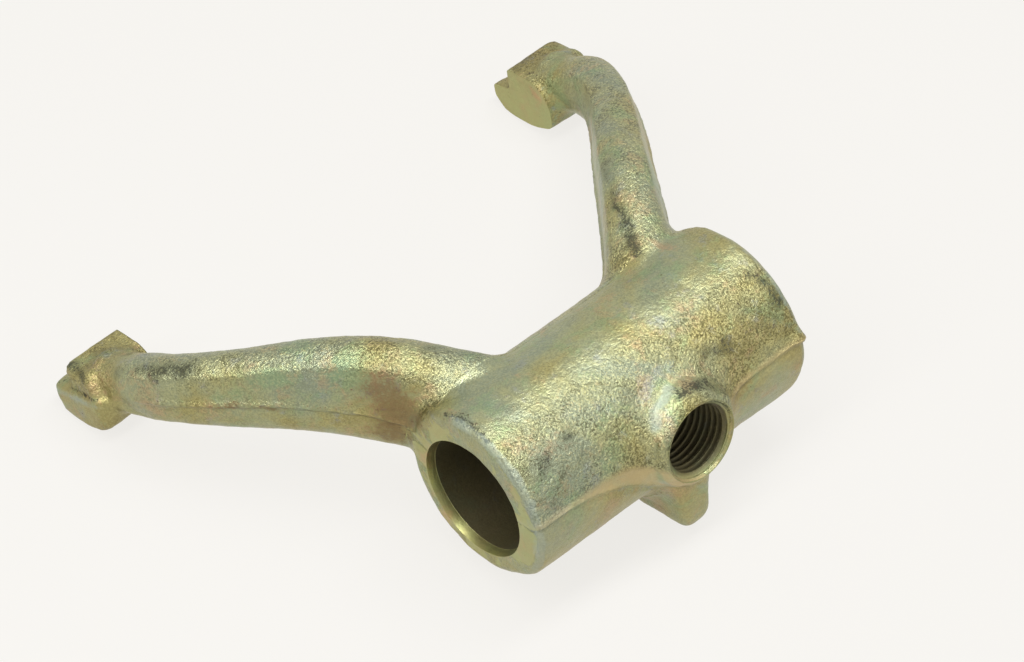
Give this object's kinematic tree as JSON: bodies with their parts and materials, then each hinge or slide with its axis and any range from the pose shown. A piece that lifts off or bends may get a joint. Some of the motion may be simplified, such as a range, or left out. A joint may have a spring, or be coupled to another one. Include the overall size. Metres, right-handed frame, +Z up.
{
  "type": "clutch fork",
  "caption": "One-piece forged clutch release fork: bored cross hub, two curved arms ending in flat thrust heads, a tapped boss at the back and a foot lug below.",
  "frame": {"origin": "centre of the shaft bore, midway between the hub's end faces", "axes": "+X along the shaft bore; +Z up with the fork lying on its foot lug and the soles of its two heads, as it rests on a bench; +Y from the hub to the heads, which then point 13.4 degrees below level"},
  "size_m": [0.1364, 0.1126, 0.0405],
  "materials": {
    "forging": "yellow zinc chromate over rough forged steel, smoother on the machined faces"
  },
  "bodies": {
    "root": {"clutch_fork": "forging"}
  },
  "joints": []
}
